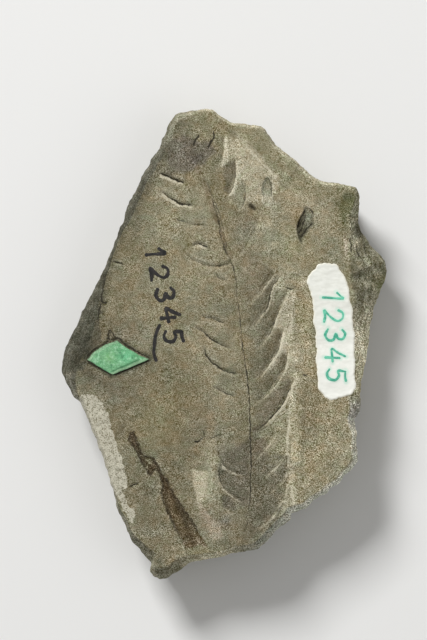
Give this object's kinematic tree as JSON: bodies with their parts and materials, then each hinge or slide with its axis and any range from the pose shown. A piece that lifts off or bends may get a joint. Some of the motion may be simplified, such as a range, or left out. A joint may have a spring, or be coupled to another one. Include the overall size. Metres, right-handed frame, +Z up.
{
  "type": "fossil fern leaf",
  "caption": "Flat piece of shale with a fern leaf fossil in low relief, bevelled and layered broken sides, and a small green paper diamond pasted on.",
  "frame": {"origin": "middle of the slab's bounding box, on its flat underside", "axes": "+X to the right of the leaf face, +Y along the leaf towards its tip, +Z up out of the leaf face"},
  "size_m": [0.0556, 0.0806, 0.0131],
  "materials": {
    "shale": "matte",
    "green_paper": "matte"
  },
  "bodies": {
    "root": {"slab": "shale", "diamond_sticker": "green_paper"}
  },
  "joints": []
}
